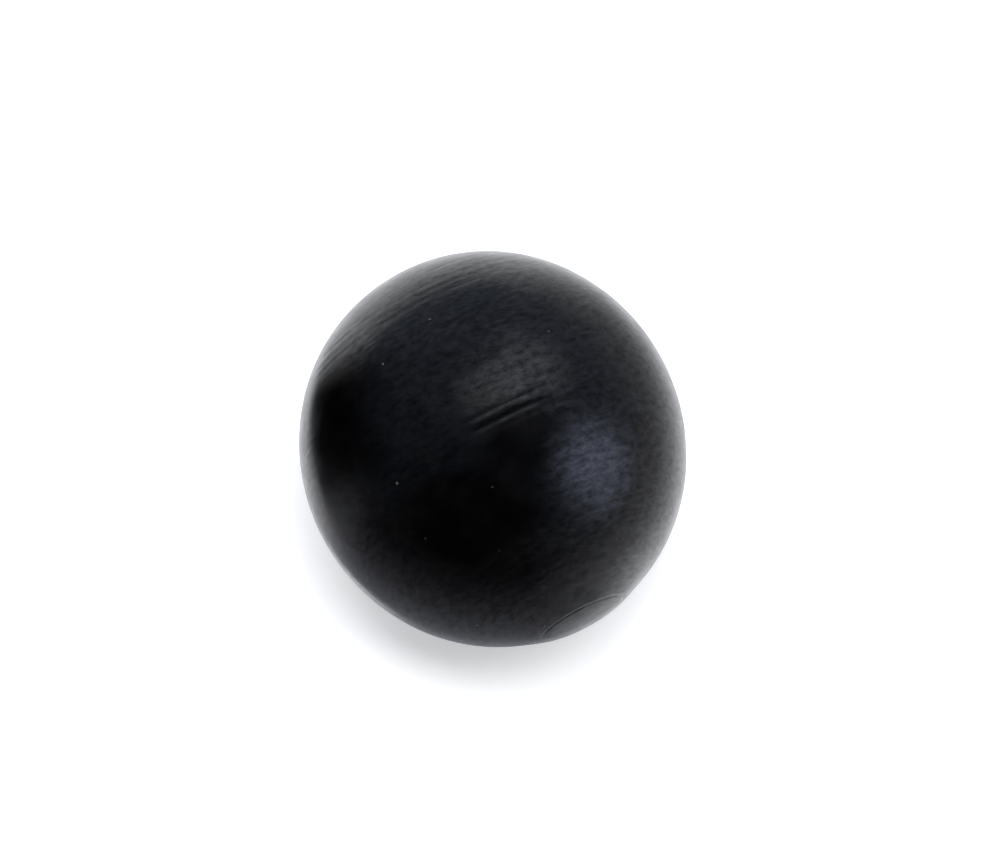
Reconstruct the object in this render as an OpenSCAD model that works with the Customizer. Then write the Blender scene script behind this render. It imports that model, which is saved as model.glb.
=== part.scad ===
// Turned boxwood ball, dyed black.
//
// One solid piece, turned on a lathe about the Y axis and parted off at -Y. It is a little
// longer along the turning axis than across it, so it comes to rest with that axis level.
// At the parted end a low domed cap stands inside a fine ring groove, on a short flare
// that the last cuts left. Z is up, the origin is the middle of the turned form, and
// sizes are in millimetres.

/* [Ball] */
// Diameter across the turning axis
ball_d = 19.85; // [12:0.05:40]
// How much longer the ball is along the turning axis than across it
overlength = 0.8; // [0.1:0.1:1.6]

/* [Parted end] */
// Diameter of the domed cap, measured at the middle of the ring groove
cap_d = 4.6; // [3:0.1:5.6]
// How far the cap stands above the ball's own curve
cap_rise = 0.12; // [0.04:0.02:0.3]
// Diameter of the flare's foot, which lies just under the ball's surface
flare_d = 8; // [7:0.1:9]
// Width of the ring groove
ring_w = 0.2; // [0.1:0.02:0.4]
// Depth of the ring groove
ring_depth = 0.06; // [0.03:0.01:0.1]

/* [Look] */
// Colour of the dyed wood
wood_colour = "#1b1b1d"; // [#1b1b1d:Black, #3a2a1e:Dark brown, #c9a66b:Natural]

/* [Hidden] */
$fn = 180;

// The ball's outline is an oval of four arcs that run into one another without a corner.
// The centres of an end arc and a side arc, and the ball's own centre, are the corners of
// a 3-4-5 triangle, so each joint between the arcs lies on a 3-4-5 direction too.
triangle = overlength / 4;
end_y = 3 * triangle;
side_x = 4 * triangle;
end_r = (ball_d + overlength) / 2 - end_y;
side_r = ball_d / 2 + side_x;
joint_y = end_y + 3 / 5 * end_r;
joint_angle = atan(3 / 4);

// A side arc is centred beyond the turning axis, so it is turned as a run of short cones.
side_steps = 24;

// The parted end. The flare's foot is buried in the ball, so the two cross cleanly.
flare_bury = 0.02;
rim_y = end_arc_y(cap_d / 2) + cap_rise;
ring_r = (pow(ring_w / 2, 2) + pow(ring_depth, 2)) / (2 * ring_depth);

// Height of the ball's end arc at a distance x from the turning axis.
function end_arc_y(x) = end_y + sqrt(pow(end_r, 2) - pow(x, 2));

// Points along the side arc, from one joint to the other.
function side_arc() = [
    for (step = [0:side_steps])
        let (angle = joint_angle * (2 * step / side_steps - 1))
        [side_r * cos(angle) - side_x, side_r * sin(angle)]
];

// The part of an end arc's disc that lies right of the turning axis, between two heights.
module end_slice(centre_y, low_y, high_y) {
    intersection() {
        translate([0, centre_y]) circle(r = end_r);
        translate([0, low_y]) square([ball_d, high_y - low_y]);
    }
}

// Half of the oval: one side arc between two end arcs.
module oval_half() {
    end_slice(end_y, joint_y, ball_d);
    polygon(concat([[0, -joint_y]], side_arc(), [[0, joint_y]]));
    end_slice(-end_y, -ball_d, -joint_y);
}

// The cone that climbs from the ball's curve to the rim of the cap.
module flare_half() {
    polygon([
        [0, 0],
        [flare_d / 2, end_arc_y(flare_d / 2) - flare_bury],
        [cap_d / 2, rim_y],
        [0, rim_y]
    ]);
}

// The domed cap, with the same curve as the ball's end.
module cap_half() {
    intersection() {
        translate([0, end_y + cap_rise]) circle(r = end_r);
        square([cap_d / 2, ball_d]);
    }
}

// The round tool's path that cuts the ring groove into the rim of the cap.
module ring_tool() {
    outward = [cap_d / 2, rim_y - end_y - cap_rise] / end_r;
    translate([cap_d / 2, rim_y] + (ring_r - ring_depth) * outward)
        circle(r = ring_r);
}

// The outline that the lathe turns, with the turning axis along the profile's Y.
module turning_profile() {
    difference() {
        union() {
            oval_half();
            flare_half();
            cap_half();
        }
        ring_tool();
    }
}

module ball() {
    color(wood_colour)
        rotate([90, 0, 0])
            rotate_extrude()
                turning_profile();
}

ball();
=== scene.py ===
"""The looks of a turned boxwood ball, dyed black, on a plain pale floor.

The file is laid out as an add-on. The Wooden Ball tab in the 3D view's sidebar holds the
sizes and finishes, and one operator makes each part of the picture. Run as a script, it
makes them all in turn. The turning axis is Y, the parted end is at -Y, Z is up, and
lengths are in metres unless a name says millimetres.
"""

import math

import bpy
import numpy as np
from bpy.props import FloatProperty, FloatVectorProperty, IntProperty, PointerProperty
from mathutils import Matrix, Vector


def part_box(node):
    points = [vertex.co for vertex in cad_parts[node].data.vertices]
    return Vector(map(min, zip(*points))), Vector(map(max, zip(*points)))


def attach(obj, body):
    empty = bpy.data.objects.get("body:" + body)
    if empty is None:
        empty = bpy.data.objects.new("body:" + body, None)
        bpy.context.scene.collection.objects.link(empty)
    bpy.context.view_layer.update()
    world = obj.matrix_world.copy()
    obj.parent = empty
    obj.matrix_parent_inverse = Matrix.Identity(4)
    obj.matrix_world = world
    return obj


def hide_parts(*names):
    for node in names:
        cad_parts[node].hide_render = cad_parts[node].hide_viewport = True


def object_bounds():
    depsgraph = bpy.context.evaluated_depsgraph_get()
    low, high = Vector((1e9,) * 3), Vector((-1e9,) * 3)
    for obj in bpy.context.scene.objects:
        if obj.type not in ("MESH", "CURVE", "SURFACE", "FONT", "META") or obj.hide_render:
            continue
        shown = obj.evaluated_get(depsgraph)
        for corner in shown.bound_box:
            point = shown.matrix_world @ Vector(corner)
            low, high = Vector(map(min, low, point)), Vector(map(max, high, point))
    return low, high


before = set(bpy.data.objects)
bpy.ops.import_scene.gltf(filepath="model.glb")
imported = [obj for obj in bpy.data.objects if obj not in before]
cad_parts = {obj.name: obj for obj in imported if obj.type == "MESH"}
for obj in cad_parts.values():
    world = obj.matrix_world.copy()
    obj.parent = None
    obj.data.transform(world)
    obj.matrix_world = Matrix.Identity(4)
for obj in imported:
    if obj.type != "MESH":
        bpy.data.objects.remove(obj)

bl_info = {
    "name": "Turned Wooden Ball",
    "version": (1, 0, 0),
    "blender": (4, 5, 0),
    "location": "3D View > Sidebar > Wooden Ball",
    "description": "Makes a small dyed boxwood ball with its turning marks",
    "category": "Object",
}

MM = 0.001
MICROMETRE = 1e-6

# Colours of the lamps, the cards and the room, as linear red, green and blue.
BLACK = (0.0, 0.0, 0.0)
WHITE = (1.0, 1.0, 1.0)
COOL_WHITE = (0.88, 0.92, 1.0)
DUSK_BLUE = (0.68, 0.78, 1.0)
SKY_BLUE = (0.67, 0.74, 1.0)
# A grey for the photographer and the floor's shade on the camera's side, partly a painted shade.
PHOTOGRAPHER_AND_SHADE_GREY = (0.326, 0.333, 0.376)
# A dark grey that paints the floor's shade near the ball, as the gloss shows it.
PAINTED_FLOOR_SHADE_GREY = (0.365, 0.373, 0.421)
PALE_CARD_GREY = (0.349, 0.363, 0.395)

# The lowest and highest corners of the whole solid, and of its one node.
CAD_LOW, CAD_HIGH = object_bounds()
BALL_LOW, BALL_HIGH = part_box("ball")

# Half the width of the floor, which runs past the farthest that the camera sees.
FLOOR_REACH = 20.0

# How far the sheet of painted floor shade lies above the floor.
SHADE_SHEET_LIFT = 0.02 * MM

# Points of the cards and the flag: round the ball, up an upright card, across the sheet of
# painted floor shade, and each way over the flag.
CARD_ROUND = 73
CARD_UP = 25
FLOOR_SHADE_SHEET_ACROSS = 9
FLAG_EACH_WAY = 33

# The cosine of the angle from its darkest direction at which the room is at its brightest.
FAR_COSINE = -0.6

# The oval's arcs are centred on the corners of 3-4-5 triangles, as in the solid, so the
# side arcs run between these latitudes, in degrees.
ARC_JOINT = math.degrees(math.atan2(3, 4))

# The power by which the flare at the parted end climbs.
FLARE_POWER = 1.4

# The ball's mean radius in millimetres, which turns the width of a mark into an angle.
MEAN_RADIUS = 10

# A mark's section is a bell as wide as this share of its width, and it fades over this
# share of its half length.
MARK_BELL = 0.6
MARK_FADE = 1 / 3

# The seed of the short marks, and the span of the sines of their latitudes, which keeps them
# off the plain pole and the cap.
MARK_SEED = 20
MARK_SINES = (-0.985, 0.955)

# Steps of latitude over which the mesh's rows are shared out, and the height and the width in
# degrees of the bells by which they crowd at the ring groove and at the long marks.
FINE_STEPS = 18001
RING_CROWD, RING_CROWD_WIDTH = 5, 1.2
MARK_CROWD, MARK_CROWD_WIDTH = 1.2, 0.9

# The span of a noise that is laid over the range of a finish, and over that of the dye.
NOISE_SPAN = (0.3, 0.7)
DYE_SPAN = (0.35, 0.75)

# The least and the greatest strength that the grain gives the gloss, and its strength in a pore.
GRAIN_SHINE = (0.2, 0.8)
PORE_SHINE = 0.1

# The patches in which the dye has taken less, from one to the next.
MOTTLE_SIZE = 1.4 * MM

# The field of points that holds the specks: their spacing, the distances in that spacing at
# which a speck is whole and gone, and the span of their random draw that makes one show.
SPECK_SPACING = 1.0 * MM
SPECK_FADE = (0.02, 0.1)
SPECK_DRAW = (0.82, 0.83)

# The camera's direction from the ball as an azimuth and an elevation in degrees, its lens and
# sensor in millimetres, its shift in widths of the picture, and how near and far it sees.
CAMERA_DIRECTION = (-116.7, 71.8)
CAMERA_LENS = 100
CAMERA_SENSOR = 36
CAMERA_SHIFT = (0.0074, 0.0148)
CAMERA_NEAR, CAMERA_FAR = 0.001, 10


def linear(hex_colour):
    """An sRGB hex colour as the linear red, green and blue that shaders take."""
    channels = [int(hex_colour[i : i + 2], 16) / 255 for i in (1, 3, 5)]
    return tuple(c / 12.92 if c <= 0.04045 else ((c + 0.055) / 1.055) ** 2.4 for c in channels)


class BallForm(bpy.types.PropertyGroup):
    """Sizes of the turned ball."""

    across: FloatProperty(
        name="Across",
        description="Diameter across the turning axis",
        default=BALL_HIGH.x - BALL_LOW.x,
        unit="LENGTH",
        precision=5,
    )
    along: FloatProperty(
        name="Along",
        description="Length along the turning axis, without the cap",
        default=2 * BALL_HIGH.y,
        unit="LENGTH",
        precision=5,
    )
    cap_rise: FloatProperty(
        name="Cap rise",
        description="How far the cap at the parted end stands above the ball's own curve",
        default=-BALL_LOW.y - BALL_HIGH.y,
        unit="LENGTH",
        precision=5,
    )
    ring_radius: FloatProperty(
        name="Ring radius",
        description="Radius of the ring groove round the cap",
        default=2.3 * MM,
        unit="LENGTH",
        precision=5,
    )
    ring_width: FloatProperty(
        name="Ring width",
        description="Width of the ring groove",
        default=0.3 * MM,
        unit="LENGTH",
        precision=5,
    )
    ring_depth: FloatProperty(
        name="Ring depth",
        description="Depth of the ring groove",
        default=0.022 * MM,
        unit="LENGTH",
        precision=5,
    )
    flare_radius: FloatProperty(
        name="Flare radius",
        description="Radius at which the flare round the cap leaves the ball's curve",
        default=4.0 * MM,
        unit="LENGTH",
        precision=5,
    )
    columns: IntProperty(
        name="Columns",
        description="Steps of the surface round the turning axis",
        default=164,
        min=24,
    )
    rows: IntProperty(
        name="Rows",
        description="Steps of the surface from one end to the other",
        default=600,
        min=60,
    )
    scratches: IntProperty(
        name="Short marks",
        description="Number of short turning marks strewn over the ball",
        default=420,
        min=0,
    )


class DyedBoxwood(bpy.types.PropertyGroup):
    """Finish of the dyed wood."""

    dye: FloatVectorProperty(
        name="Dye",
        description="Colour of the dyed wood",
        default=linear("#030304"),
        subtype="COLOR",
        size=3,
        min=0,
        max=1,
    )
    thin_dye: FloatVectorProperty(
        name="Thin dye",
        description="Colour where the dye has taken less",
        default=linear("#080808"),
        subtype="COLOR",
        size=3,
        min=0,
        max=1,
    )
    dust: FloatVectorProperty(
        name="Dust",
        description="Colour of the specks of dust",
        default=linear("#585654"),
        subtype="COLOR",
        size=3,
        min=0,
        max=1,
    )
    gloss_low: FloatProperty(
        name="Roughness, burnished",
        description="Roughness where the wood is best burnished",
        default=0.17,
        subtype="FACTOR",
        min=0,
        max=1,
    )
    gloss_high: FloatProperty(
        name="Roughness, dull",
        description="Roughness where the wood is dullest",
        default=0.25,
        subtype="FACTOR",
        min=0,
        max=1,
    )


class Studio(bpy.types.PropertyGroup):
    """The floor, the lights and the camera."""

    floor_colour: FloatVectorProperty(
        name="Floor",
        description="Colour of the floor",
        default=linear("#ededee"),
        subtype="COLOR",
        size=3,
        min=0,
        max=1,
    )
    camera_distance: FloatProperty(
        name="Camera distance",
        description="Distance from the camera to the middle of the ball",
        default=143.8 * MM,
        unit="LENGTH",
        precision=4,
    )


# The long turning marks, each a shallow groove along a stretch of latitude: latitude and
# longitude in degrees, width and length in millimetres, depth in micrometres. Latitude is
# measured towards the parted end, and longitude from the top towards -X. Most of the list
# comes from another program's search for grooves, and was then thinned, rounded and changed
# by hand.
MARKS = (
    (66.0, 52, 0.30, 3.0, 7),
    (61.0, 34, 0.44, 12.0, 11),
    (57.2, 8, 0.24, 2.5, 6),
    (54.2, 4, 0.30, 4.0, 7),
    (54.4, 42, 0.28, 3.0, 8),
    (48.8, 20, 0.40, 8.0, 5),
    (46.0, 16, 0.22, 14.0, 5),
    (41.9, 8, 0.32, 12.0, 9),
    (37.4, -18, 0.26, 5.0, 5),
    (31.4, -20, 0.22, 5.0, 8),
    (28.4, -12, 0.32, 7.0, 8),
    (25.4, -17, 0.30, 4.0, 6),
    (20.6, -20, 0.26, 8.0, 7),
    (14.4, -4, 0.26, 4.0, 10),
    (11.2, -19, 0.24, 3.0, 9),
    (10.9, 8, 0.30, 11.0, 6),
    (9.0, 1, 0.28, 4.8, 16),
    (8.7, 16, 0.26, 6.0, 7),
    (6.0, -17, 0.26, 5.0, 9),
    (5.8, 14, 0.26, 6.0, 9),
    (3.0, -19, 0.30, 4.0, 8),
    (2.0, -6, 0.40, 8.0, 9),
    (-3.2, -8, 0.40, 10.0, 9),
    (-9.8, -6, 0.40, 7.0, 8),
    (-34.9, 8, 0.34, 17.0, 8),
    (-37.7, 12, 0.32, 17.0, 8),
    (-41.6, 12, 0.34, 19.0, 8),
)


def smooth_step(t):
    """0 below 0, 1 above 1, and 3t^2 - 2t^3 between."""
    t = np.clip(t, 0, 1)
    return t * t * (3 - 2 * t)


def short_marks(count):
    """A seeded scatter of short grooves spread evenly over the ball, in MARKS's own terms."""
    rng = np.random.default_rng(MARK_SEED)
    latitude = np.degrees(np.arcsin(rng.uniform(*MARK_SINES, count)))
    longitude = rng.uniform(-180, 180, count)
    width = rng.uniform(0.12, 0.24, count)
    length = rng.uniform(1.0, 5.0, count)
    depth = rng.uniform(1.0, 5.0, count)
    return np.stack([latitude, longitude, width, length, depth], axis=1)


def row_latitudes(form):
    """Latitudes of the mesh's rows, in degrees, from the plain end to the parted end.

    The rows crowd where there are fine forms: their density is 1 everywhere, plus a bell
    h exp(-(d / w)^2) at the ring groove and one at each long mark, with d the distance from
    it in degrees, and h and w the height and width of that kind of crowd.
    """
    end_radius = end_arc_radius(form)
    ring_latitude = math.degrees(math.acos(form.ring_radius / end_radius))
    latitude = np.linspace(-90, 90, FINE_STEPS)
    density = np.ones_like(latitude)
    density += RING_CROWD * np.exp(-(((latitude - ring_latitude) / RING_CROWD_WIDTH) ** 2))
    for mark in MARKS:
        density += MARK_CROWD * np.exp(-(((latitude - mark[0]) / MARK_CROWD_WIDTH) ** 2))
    share = np.concatenate([[0], np.cumsum((density[1:] + density[:-1]) / 2)])
    wanted = np.linspace(0, share[-1], form.rows + 2)[1:-1]
    return np.interp(wanted, share, latitude)


def end_arc_radius(form):
    """Radius of the arcs at the oval's two ends: half the length less 3/4 of the overlength."""
    return form.along / 2 - 0.75 * (form.along - form.across)


def oval(latitude, form):
    """Distance from the axis and height along it, of the oval's point that faces a latitude.

    Each point is an arc's centre plus the arc's radius times (cos, sin) of the latitude.
    The side arc's centre lies beyond the axis, and an end arc's lies on it.
    """
    overlength = form.along - form.across
    end_radius = end_arc_radius(form)
    side_radius = form.across / 2 + overlength
    angle = np.radians(latitude)
    side = np.abs(latitude) < ARC_JOINT
    out = np.where(side, side_radius * np.cos(angle) - overlength, end_radius * np.cos(angle))
    end_height = np.sign(latitude) * 0.75 * overlength + end_radius * np.sin(angle)
    up = np.where(side, side_radius * np.sin(angle), end_height)
    return out, up


def parted_end(out, form):
    """How far the parted end stands off the oval, at a distance from the axis.

    The flare climbs as t^1.4 from its foot to the ring groove, where t goes from 0 to 1, and
    the cap goes on at full height. The groove's section is -(1 - u^2)^2 across its width.
    """
    climb = np.clip((form.flare_radius - out) / (form.flare_radius - form.ring_radius), 0, 1)
    rise = form.cap_rise * climb**FLARE_POWER
    across_ring = np.clip((out - form.ring_radius) / (form.ring_width / 2), -1, 1)
    return rise - form.ring_depth * (1 - across_ring**2) ** 2


def groove(latitude, longitude, out, mark):
    """Depth of one turning mark over the whole grid, in metres.

    Its section is exp(-u^2), with u the distance from its line over MARK_BELL of its width,
    and it fades in and out by smooth steps over the last MARK_FADE of each half.
    """
    mark_latitude, mark_longitude, width, length, depth = mark
    across = np.radians(latitude - mark_latitude) * (MEAN_RADIUS / (MARK_BELL * width))
    turn = (longitude - mark_longitude + 180) % 360 - 180
    along = np.abs(np.radians(turn)) * out / MM / (length / 2)
    return depth * MICROMETRE * np.exp(-(across**2)) * smooth_step((1 - along) / MARK_FADE)


def ball_surface(form):
    """Points of the ball as a grid of rows and columns, and the two poles.

    A row at latitude a faces (cos a, sin a) in the plane of its meridian. Its point is the
    oval's, moved along that direction by the parted end's rise less the turning marks, and
    turned about Y to its column's longitude.
    """
    latitude = row_latitudes(form)[:, None]
    longitude = np.linspace(0, 360, form.columns, endpoint=False)[None, :]
    out, up = oval(latitude, form)
    relief = np.where(latitude > 0, parted_end(out, form), 0) * np.ones_like(longitude)
    marks = np.concatenate([np.array(MARKS), short_marks(form.scratches)])
    for mark in marks:
        relief = relief - groove(latitude, longitude, out, mark)
    out = out + relief * np.cos(np.radians(latitude))
    up = up + relief * np.sin(np.radians(latitude))
    turn = np.radians(longitude)
    grid = np.stack([-out * np.sin(turn), -up, out * np.cos(turn)], axis=-1)
    plain_pole = (0, form.along / 2, 0)
    cap_pole = (0, -form.along / 2 - form.cap_rise, 0)
    return grid, plain_pole, cap_pole


def grid_mesh(name, grid, first_pole, last_pole):
    """A closed mesh from rows that run right round, with a fan of triangles to each pole."""
    rows, columns = grid.shape[:2]
    points = np.concatenate([grid.reshape(-1, 3), [first_pole], [last_pole]])
    index = np.arange(rows * columns).reshape(rows, columns)
    beside = np.roll(index, -1, axis=1)
    quads = np.stack([index[:-1], beside[:-1], beside[1:], index[1:]], axis=-1).reshape(-1, 4)
    first = np.full(columns, rows * columns)
    last = first + 1
    first_fan = np.stack([beside[0], index[0], first], axis=-1)
    last_fan = np.stack([index[-1], beside[-1], last], axis=-1)
    mesh = bpy.data.meshes.new(name)
    mesh.from_pydata(points.tolist(), [], quads.tolist() + first_fan.tolist() + last_fan.tolist())
    mesh.shade_smooth()
    return mesh


def add_object(name, mesh, material):
    """Links a mesh into the scene as an object with one material."""
    mesh.materials.append(material)
    piece = bpy.data.objects.new(name, mesh)
    bpy.context.scene.collection.objects.link(piece)
    return piece


def add_node(tree, kind, settings=None, inputs=None):
    """Adds a node, sets its properties, and fills each input with a value or a link."""
    node = tree.nodes.new(kind)
    for name, value in (settings or {}).items():
        setattr(node, name, value)
    for name, value in (inputs or {}).items():
        if isinstance(value, bpy.types.NodeSocket):
            tree.links.new(value, node.inputs[name])
        else:
            node.inputs[name].default_value = value
    return node


def new_material(name):
    """An empty node material and its tree."""
    material = bpy.data.materials.new(name)
    material.use_nodes = True
    material.node_tree.nodes.clear()
    return material, material.node_tree


def dyed_boxwood(form, look):
    """Boxwood dyed black and burnished. Its grain is too close to show, so the eye gets a
    satin sheen, fine streaks where the tool ran round the ball, small open pores that break
    the gloss, and a few specks of dust."""
    material, tree = new_material("dyed_boxwood_burnished")
    place = add_node(tree, "ShaderNodeTexCoord").outputs["Object"]
    parts = add_node(tree, "ShaderNodeSeparateXYZ", inputs={0: place})
    flat = add_node(
        tree, "ShaderNodeVectorMath", {"operation": "MULTIPLY"}, {0: place, 1: (1, 0, 1)}
    )
    reach = add_node(tree, "ShaderNodeVectorMath", {"operation": "LENGTH"}, {0: flat.outputs[0]})
    latitude = add_node(
        tree,
        "ShaderNodeMath",
        {"operation": "ARCTAN2"},
        {0: parts.outputs["Y"], 1: reach.outputs["Value"]},
    )
    arc = add_node(
        tree,
        "ShaderNodeMath",
        {"operation": "MULTIPLY"},
        {0: latitude.outputs[0], 1: form.across / 2},
    )
    # Round the ball by X and Z, and from end to end by the arc, so a streak can be stretched.
    turned = add_node(
        tree,
        "ShaderNodeCombineXYZ",
        inputs={"X": parts.outputs["X"], "Y": arc.outputs[0], "Z": parts.outputs["Z"]},
    )

    def streaks(length_mm, width_mm, detail, rough):
        """Noise drawn out along the turning marks, with cells of a length and a width."""
        scale = (1 / (length_mm * MM), 1 / (width_mm * MM), 1 / (length_mm * MM))
        stretched = add_node(
            tree,
            "ShaderNodeVectorMath",
            {"operation": "MULTIPLY"},
            {0: turned.outputs[0], 1: scale},
        )
        noise = add_node(
            tree,
            "ShaderNodeTexNoise",
            {"noise_dimensions": "3D"},
            {"Vector": stretched.outputs[0], "Scale": 1.0, "Detail": detail, "Roughness": rough},
        )
        return noise.outputs["Fac"]

    grain = streaks(length_mm=0.55, width_mm=0.3, detail=3, rough=0.75)
    fine = streaks(length_mm=1.6, width_mm=0.2, detail=2, rough=0.55)
    broad = streaks(length_mm=6.0, width_mm=0.7, detail=2, rough=0.55)
    mottle = add_node(
        tree,
        "ShaderNodeTexNoise",
        inputs={"Vector": place, "Scale": 1 / MOTTLE_SIZE, "Detail": 3, "Roughness": 0.6},
    ).outputs["Fac"]

    dye_taken = add_node(
        tree,
        "ShaderNodeMapRange",
        {"interpolation_type": "SMOOTHSTEP"},
        {"Value": mottle, "From Min": DYE_SPAN[0], "From Max": DYE_SPAN[1]},
    )
    dyed = add_node(
        tree,
        "ShaderNodeMix",
        {"data_type": "RGBA"},
        {"Factor": dye_taken.outputs[0], "A": (*look.dye, 1), "B": (*look.thin_dye, 1)},
    )
    # Dust and open pores are about a tenth of a millimetre across: the parts of a field of
    # points that lie within reach of the surface, thinned out by their random colours.
    points = add_node(
        tree, "ShaderNodeTexVoronoi", inputs={"Vector": place, "Scale": 1 / SPECK_SPACING}
    )
    near = add_node(
        tree,
        "ShaderNodeMapRange",
        inputs={
            "Value": points.outputs["Distance"],
            "From Min": SPECK_FADE[0],
            "From Max": SPECK_FADE[1],
            "To Min": 1.0,
            "To Max": 0.0,
        },
    )
    lot = add_node(tree, "ShaderNodeSeparateColor", inputs={0: points.outputs["Color"]})
    specks = []
    for channel in ("Red", "Green"):
        drawn = add_node(
            tree,
            "ShaderNodeMapRange",
            inputs={
                "Value": lot.outputs[channel],
                "From Min": SPECK_DRAW[0],
                "From Max": SPECK_DRAW[1],
            },
        )
        speck = add_node(
            tree,
            "ShaderNodeMath",
            {"operation": "MULTIPLY"},
            {0: near.outputs[0], 1: drawn.outputs[0]},
        )
        specks.append(speck.outputs[0])
    dusty, open_pore = specks
    dull = add_node(
        tree,
        "ShaderNodeMapRange",
        inputs={
            "Value": mottle,
            "From Min": NOISE_SPAN[0],
            "From Max": NOISE_SPAN[1],
            "To Min": look.gloss_low,
            "To Max": look.gloss_high,
        },
    )
    grain_shine = add_node(
        tree,
        "ShaderNodeMapRange",
        inputs={
            "Value": grain,
            "From Min": NOISE_SPAN[0],
            "From Max": NOISE_SPAN[1],
            "To Min": GRAIN_SHINE[0],
            "To Max": GRAIN_SHINE[1],
        },
    )
    shine = add_node(
        tree,
        "ShaderNodeMapRange",
        inputs={
            "Value": open_pore,
            "To Min": grain_shine.outputs[0],
            "To Max": PORE_SHINE,
        },
    )
    dusted = add_node(
        tree,
        "ShaderNodeMix",
        {"data_type": "RGBA"},
        {"Factor": dusty, "A": find_socket(dyed.outputs, "RGBA"), "B": (*look.dust, 1)},
    )
    normal = None
    for height, depth_mm in ((broad, 0.006), (fine, 0.004), (grain, 0.002)):
        inputs = {"Height": height, "Distance": depth_mm * MM, "Strength": 1.0}
        if normal:
            inputs["Normal"] = normal
        normal = add_node(tree, "ShaderNodeBump", inputs=inputs).outputs[0]
    wood = add_node(
        tree,
        "ShaderNodeBsdfPrincipled",
        inputs={
            "Base Color": find_socket(dusted.outputs, "RGBA"),
            "Roughness": dull.outputs[0],
            "IOR": 1.45,
            "Specular IOR Level": shine.outputs[0],
            "Normal": normal,
        },
    )
    add_node(tree, "ShaderNodeOutputMaterial", inputs={"Surface": wood.outputs["BSDF"]})
    return material


def find_socket(sockets, kind):
    """The enabled socket of a kind, where a node has several of the same name."""
    return next(s for s in sockets if s.enabled and s.type == kind)


def painted_floor(colour, glow, shade, reach):
    """A smooth matt white floor, lifted a little where it is seen so that it reads as white.

    The lift dims by a share, shade, where the ball stands, which paints a contact shadow under
    the ball, and comes back by a smooth step out to a reach.
    """
    material, tree = new_material("matt_white_floor")
    path = add_node(tree, "ShaderNodeLightPath").outputs
    seen = path["Is Camera Ray"]
    for way in ("Is Glossy Ray", "Is Transmission Ray"):
        either = add_node(
            tree, "ShaderNodeMath", {"operation": "MAXIMUM"}, {0: seen, 1: path[way]}
        )
        seen = either.outputs[0]
    place = add_node(tree, "ShaderNodeTexCoord").outputs["Object"]
    from_ball = add_node(
        tree, "ShaderNodeVectorMath", {"operation": "DISTANCE"}, {0: place, 1: (0, 0, CAD_LOW.z)}
    )
    # Painted contact shadow: the floor's lift is dimmed round the spot where the ball stands.
    lift_with_painted_shadow = add_node(
        tree,
        "ShaderNodeMapRange",
        {"interpolation_type": "SMOOTHSTEP"},
        {
            "Value": from_ball.outputs["Value"],
            "From Min": 0,
            "From Max": reach,
            "To Min": glow * (1 - shade),
            "To Max": glow,
        },
    )
    strength = add_node(
        tree,
        "ShaderNodeMath",
        {"operation": "MULTIPLY"},
        {0: lift_with_painted_shadow.outputs[0], 1: seen},
    )
    matt = add_node(tree, "ShaderNodeBsdfDiffuse", inputs={"Color": (*colour, 1)})
    lift = add_node(tree, "ShaderNodeEmission", inputs={"Strength": strength.outputs[0]})
    both = add_node(tree, "ShaderNodeAddShader", inputs={0: matt.outputs[0], 1: lift.outputs[0]})
    add_node(tree, "ShaderNodeOutputMaterial", inputs={"Surface": both.outputs[0]})
    return material


def towards(azimuth, elevation):
    """Unit vector at an azimuth from +X towards +Y and an elevation, both in degrees."""
    a, e = math.radians(azimuth), math.radians(elevation)
    return Vector((math.cos(a) * math.cos(e), math.sin(a) * math.cos(e), math.sin(e)))


def area_lamp(name, direction, distance, angles, radiance, colour, core=None, beam=180):
    """A soft elliptical lamp that faces the ball.

    angles are its width and height as seen from the ball, in degrees. An ellipse gives off
    pi squared over 4 times width times height times radiance. A grid over it narrows that to
    a beam, in degrees: with h half the beam, all but (tan h - h) / tan h of it is lost. A lamp
    with a core shows in the ball's gloss alone, and fades from there to its rim. One without
    lights the body of things.
    """
    width, height = (2 * distance * math.tan(math.radians(angle / 2)) for angle in angles)
    half_beam = math.radians(beam / 2)
    kept = 1 - half_beam / math.tan(half_beam) if beam < 180 else 1
    lamp = bpy.data.lights.new(name, "AREA")
    lamp.shape = "ELLIPSE"
    lamp.size, lamp.size_y = width, height
    lamp.spread = 2 * half_beam
    lamp.energy = math.pi**2 / 4 * width * height * radiance * kept
    lamp.color = colour
    in_gloss = core is not None
    if in_gloss:
        fade_to_rim(lamp, core)
    holder = bpy.data.objects.new(name, lamp)
    out = towards(*direction)
    holder.location = out * distance
    holder.rotation_euler = out.to_track_quat("Z", "Y").to_euler()
    holder.visible_camera = False
    holder.visible_glossy = in_gloss
    holder.visible_diffuse = not in_gloss
    bpy.context.scene.collection.objects.link(holder)


def fade_to_rim(lamp, core):
    """Makes a lamp fade by a smooth step, as cloth in front of a bulb does, from a core out.

    core is that part's size as a share of the lamp's.
    """
    lamp.use_nodes = True
    tree = lamp.node_tree
    tree.nodes.clear()
    place = add_node(tree, "ShaderNodeNewGeometry").outputs["Parametric"]
    reach = add_node(
        tree, "ShaderNodeVectorMath", {"operation": "DISTANCE"}, {0: place, 1: (0.5, 0.5, 0)}
    )
    fade = add_node(
        tree,
        "ShaderNodeMapRange",
        {"interpolation_type": "SMOOTHSTEP"},
        {"Value": reach.outputs["Value"], "From Min": 0.5, "From Max": 0.5 * core},
    )
    glow = add_node(tree, "ShaderNodeEmission", inputs={"Strength": fade.outputs[0]})
    add_node(tree, "ShaderNodeOutputLight", inputs={"Surface": glow.outputs[0]})


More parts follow.
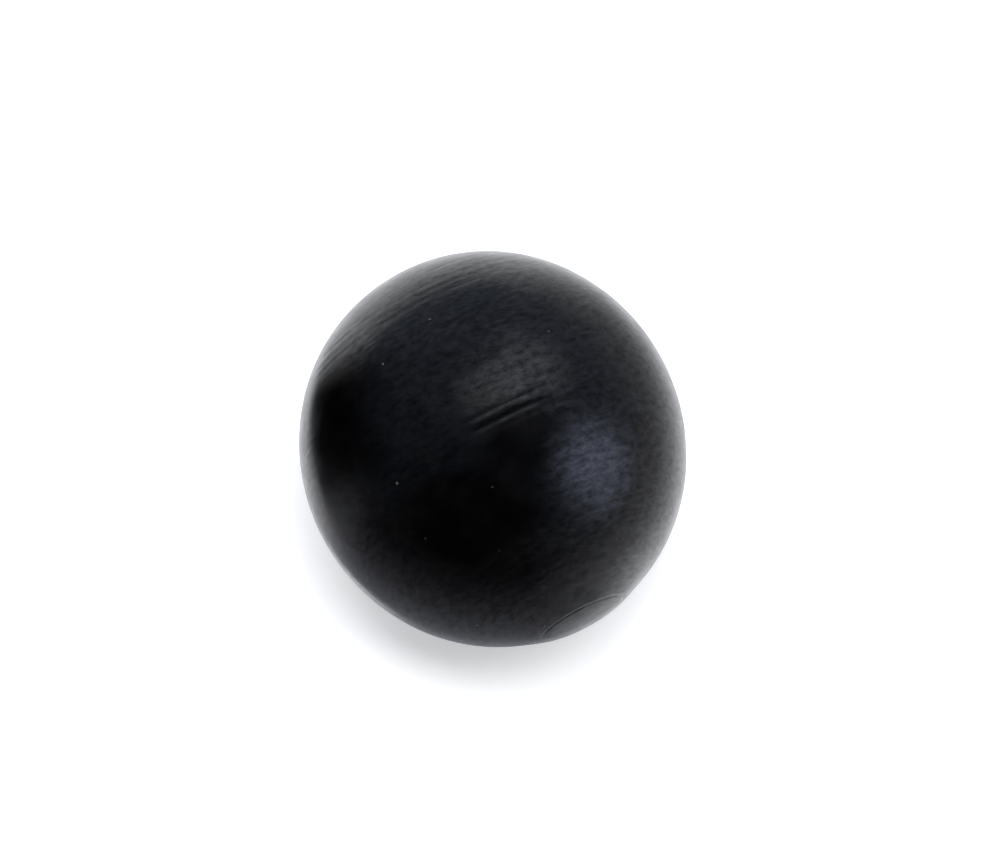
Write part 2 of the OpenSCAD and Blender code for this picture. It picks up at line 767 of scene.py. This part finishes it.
def gloss_sheet(name, points, cover, tone, colour):
    """A sheet that only the ball's gloss sees, from rows and columns of points.

    cover is how much of it is there and tone how bright it is, each a share from 0 to 1.
    """
    rows, columns = cover.shape
    index = np.arange(rows * columns).reshape(rows, columns)
    quads = np.stack([index[:-1, :-1], index[:-1, 1:], index[1:, 1:], index[1:, :-1]], axis=-1)
    mesh = bpy.data.meshes.new(name)
    mesh.from_pydata(points.reshape(-1, 3).tolist(), [], quads.reshape(-1, 4).tolist())
    for attribute, share in (("cover", cover), ("tone", tone)):
        values = np.broadcast_to(share, cover.shape).ravel()
        mesh.attributes.new(attribute, "FLOAT", "POINT").data.foreach_set("value", values)
    material, tree = new_material(name)
    there, level = (
        add_node(tree, "ShaderNodeAttribute", {"attribute_name": attribute}).outputs["Fac"]
        for attribute in ("cover", "tone")
    )
    clear = add_node(tree, "ShaderNodeBsdfTransparent").outputs[0]
    card = add_node(
        tree, "ShaderNodeEmission", inputs={"Color": (*colour, 1), "Strength": level}
    ).outputs[0]
    both = add_node(tree, "ShaderNodeMixShader", inputs={0: there, 1: clear, 2: card})
    add_node(tree, "ShaderNodeOutputMaterial", inputs={"Surface": both.outputs[0]})
    sheet = add_object(name, mesh, material)
    sheet.visible_camera = False
    sheet.visible_diffuse = False
    sheet.visible_shadow = False


def bent_card(name, radius, azimuths, height, margins, fall, colour):
    """An upright card bent round the ball at a radius, from the floor up to a height.

    Its points are the radius times (cos, sin) of the azimuth. It thins out to nothing by
    smooth steps: margins are their widths at its ends, in degrees, and at its foot and its
    top, as shares of its height. It also darkens towards its top, over a share, fall.
    """
    first, last = azimuths
    end, foot, top = margins
    azimuth = np.linspace(first, last, CARD_ROUND)[None, :]
    share = np.linspace(0, 1, CARD_UP)[:, None]
    turn = np.radians(azimuth)
    climb = CAD_LOW.z + share * height
    points = np.broadcast_arrays(radius * np.cos(turn), radius * np.sin(turn), climb)
    cover = smooth_step((azimuth - first) / end) * smooth_step((last - azimuth) / end)
    cover = cover * smooth_step(share / foot) * smooth_step((1 - share) / top)
    gloss_sheet(name, np.stack(points, axis=-1), cover, smooth_step((1 - share) / fall), colour)


def painted_floor_shade_sheet(name, radii, azimuths, end, colour):
    """A sheet of painted shade that lies on the floor round the ball, between two radii and two
    azimuths.

    It thins out to nothing at both ends by smooth steps, end wide, in degrees.
    """
    first, last = azimuths
    azimuth = np.linspace(first, last, CARD_ROUND)[None, :]
    radius = np.linspace(*radii, FLOOR_SHADE_SHEET_ACROSS)[:, None]
    turn = np.radians(azimuth)
    height = CAD_LOW.z + SHADE_SHEET_LIFT
    points = np.broadcast_arrays(radius * np.cos(turn), radius * np.sin(turn), height)
    cover = smooth_step((azimuth - first) / end) * smooth_step((last - azimuth) / end)
    cover = np.broadcast_to(cover, points[0].shape)
    gloss_sheet(name, np.stack(points, axis=-1), cover, 1.0, colour)


def black_flag(name, direction, distance, angles, core):
    """A flat black flag between the ball and the lamps, an ellipse that fades to its rim.

    angles are its width and height as seen from the ball, in degrees. It is whole within a
    core, as a share of its size, and thins out from there to its rim by a smooth step.
    """
    out = np.array(towards(*direction))
    across = np.cross((0, 0, 1), out)
    across = across / np.linalg.norm(across)
    up = np.cross(out, across)
    half_width, half_height = (distance * math.tan(math.radians(angle / 2)) for angle in angles)
    steps = np.linspace(-1, 1, FLAG_EACH_WAY)
    u, v = np.meshgrid(steps, steps)
    points = distance * out + half_width * u[..., None] * across + half_height * v[..., None] * up
    cover = smooth_step((1 - np.hypot(u, v)) / (1 - core))
    gloss_sheet(name, points, cover, 0.0, BLACK)


def dim_room(darkest, edge, wall_width, levels):
    """A world that is black round one direction and brightens evenly away from it.

    edge is the cosine of the angle from there at which the light begins. It begins with a
    smooth step, wall_width wide as a cosine, to the first level. The second is what it
    gains from there to FAR_COSINE.
    """
    world = bpy.data.worlds.new("dim_room")
    world.use_nodes = True
    tree = world.node_tree
    tree.nodes.clear()
    place = add_node(tree, "ShaderNodeTexCoord").outputs["Generated"]
    cosine = add_node(
        tree,
        "ShaderNodeVectorMath",
        {"operation": "DOT_PRODUCT"},
        {0: place, 1: towards(*darkest)},
    ).outputs["Value"]
    wall = add_node(
        tree,
        "ShaderNodeMapRange",
        {"interpolation_type": "SMOOTHSTEP"},
        {
            "Value": cosine,
            "From Min": edge,
            "From Max": edge - wall_width,
            "To Min": 0,
            "To Max": levels[0],
        },
    )
    slope = add_node(
        tree,
        "ShaderNodeMapRange",
        inputs={
            "Value": cosine,
            "From Min": edge,
            "From Max": FAR_COSINE,
            "To Min": 0,
            "To Max": levels[1],
        },
    )
    level = add_node(
        tree,
        "ShaderNodeMath",
        {"operation": "ADD"},
        {0: wall.outputs[0], 1: slope.outputs[0]},
    )
    room = add_node(
        tree,
        "ShaderNodeBackground",
        inputs={"Color": (*DUSK_BLUE, 1), "Strength": level.outputs[0]},
    )
    add_node(tree, "ShaderNodeOutputWorld", inputs={"Surface": room.outputs[0]})
    return world


class WOODENBALL_OT_turned_ball(bpy.types.Operator):
    """Make the turned ball with its cap, ring groove and turning marks"""

    bl_idname = "wooden_ball.turned_ball"
    bl_label = "Turned Ball"

    def execute(self, context):
        form = context.scene.wooden_ball_form
        material = dyed_boxwood(form, context.scene.wooden_ball_finish)
        ball = add_object("turned_ball", grid_mesh("turned_ball", *ball_surface(form)), material)
        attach(ball, "root")
        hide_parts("ball")
        return {"FINISHED"}


class WOODENBALL_OT_studio(bpy.types.Operator):
    """Make the pale floor, the lights and the camera"""

    bl_idname = "wooden_ball.studio"
    bl_label = "Studio"

    def execute(self, context):
        scene = context.scene
        studio = scene.wooden_ball_studio
        scene.view_settings.view_transform = "Standard"

        corners = [
            (FLOOR_REACH * x, FLOOR_REACH * y, CAD_LOW.z)
            for x, y in ((-1, -1), (1, -1), (1, 1), (-1, 1))
        ]
        sheet = bpy.data.meshes.new("floor")
        sheet.from_pydata(corners, [], [(0, 1, 2, 3)])
        # The floor's lift carries a painted contact shadow round the ball.
        paint = painted_floor(studio.floor_colour, glow=0.52, shade=0.95, reach=9.5 * MM)
        add_object("floor", sheet, paint)

        # The key lamp lights the floor and casts the shadow, and the rest show in the gloss.
        # Most places, sizes and levels below come from least-squares fits by other programs,
        # and some were then changed by hand.
        area_lamp(
            "key_lamp",
            direction=(-49.8, 86.2),
            distance=0.2,
            angles=(17.9, 77.7),
            radiance=17.9,
            colour=WHITE,
            beam=60,
        )
        area_lamp(
            "high_soft_box",
            direction=(66.4, 74.4),
            distance=0.5,
            angles=(38.8, 30.0),
            radiance=0.52,
            colour=WHITE,
            core=0.84,
        )
        area_lamp(
            "low_soft_box",
            direction=(29.9, 55.1),
            distance=0.5,
            angles=(53.5, 60.4),
            radiance=0.949,
            colour=COOL_WHITE,
            core=0.038,
        )
        area_lamp(
            "window",
            direction=(-42.2, 17.5),
            distance=0.5,
            angles=(61.1, 95.4),
            radiance=2.45,
            colour=SKY_BLUE,
            core=0.01,
        )
        black_flag(
            "lens_hood",
            direction=(-65.9, 70.1),
            distance=0.4,
            angles=(69.0, 54.9),
            core=0.41,
        )
        bent_card(
            "black_card",
            radius=20.4 * MM,
            azimuths=(109.5, 188.0),
            height=32.3 * MM,
            margins=(25.0, 0.14, 0.507),
            fall=1,
            colour=BLACK,
        )
        # Partly a stand-in for the photographer and partly painted shade: the floor on the
        # camera's side as the gloss shows it, lighter at its foot and darker above.
        bent_card(
            "photographer_and_shade_card",
            radius=12.5 * MM,
            azimuths=(-209.3, -63.5),
            height=17.6 * MM,
            margins=(45.0, 0.02, 0.1),
            fall=0.563,
            colour=PHOTOGRAPHER_AND_SHADE_GREY,
        )
        bent_card(
            "pale_card",
            radius=19.5 * MM,
            azimuths=(-127.9, 64.9),
            height=28.1 * MM,
            margins=(50.4, 0.59, 0.661),
            fall=0.1,
            colour=PALE_CARD_GREY,
        )
        # Painted shade: a dark sheet on the floor round the camera side of the ball, seen only in
        # the gloss, where the floor lies in the ball's shade.
        painted_floor_shade_sheet(
            "painted_floor_shade",
            radii=(7.6 * MM, 13.6 * MM),
            azimuths=(-182.0, -64.0),
            end=45.0,
            colour=PAINTED_FLOOR_SHADE_GREY,
        )
        scene.world = dim_room(
            darkest=(-129.4, 17.0),
            edge=0.763,
            wall_width=0.02,
            levels=(0.0771, 0.372),
        )

        lens = bpy.data.cameras.new("camera")
        lens.lens = CAMERA_LENS
        lens.sensor_width = CAMERA_SENSOR
        lens.shift_x, lens.shift_y = CAMERA_SHIFT
        lens.clip_start, lens.clip_end = CAMERA_NEAR, CAMERA_FAR
        camera = bpy.data.objects.new("camera", lens)
        back = towards(*CAMERA_DIRECTION)
        camera.location = back * studio.camera_distance
        camera.rotation_euler = back.to_track_quat("Z", "Y").to_euler()
        scene.collection.objects.link(camera)
        scene.camera = camera
        return {"FINISHED"}


class WOODENBALL_PT_sidebar(bpy.types.Panel):
    """Sidebar panel that lists the ball's settings and its operators"""

    bl_idname = "WOODENBALL_PT_sidebar"
    bl_label = "Wooden Ball"
    bl_space_type = "VIEW_3D"
    bl_region_type = "UI"
    bl_category = "Wooden Ball"

    def draw(self, context):
        layout = self.layout
        for group, operator in (
            (context.scene.wooden_ball_form, None),
            (context.scene.wooden_ball_finish, WOODENBALL_OT_turned_ball.bl_idname),
            (context.scene.wooden_ball_studio, WOODENBALL_OT_studio.bl_idname),
        ):
            box = layout.box()
            for name in type(group).__annotations__:
                box.prop(group, name)
            if operator:
                box.operator(operator)


CLASSES = (
    BallForm,
    DyedBoxwood,
    Studio,
    WOODENBALL_OT_turned_ball,
    WOODENBALL_OT_studio,
    WOODENBALL_PT_sidebar,
)


def register():
    """Registers the classes and hangs the settings on the scene."""
    for cls in CLASSES:
        bpy.utils.register_class(cls)
    bpy.types.Scene.wooden_ball_form = PointerProperty(type=BallForm)
    bpy.types.Scene.wooden_ball_finish = PointerProperty(type=DyedBoxwood)
    bpy.types.Scene.wooden_ball_studio = PointerProperty(type=Studio)


def unregister():
    """Takes the settings off the scene and unregisters the classes."""
    del bpy.types.Scene.wooden_ball_studio
    del bpy.types.Scene.wooden_ball_finish
    del bpy.types.Scene.wooden_ball_form
    for cls in reversed(CLASSES):
        bpy.utils.unregister_class(cls)


def main():
    register()
    bpy.ops.wooden_ball.turned_ball()
    bpy.ops.wooden_ball.studio()


if __name__ == "__main__":
    main()
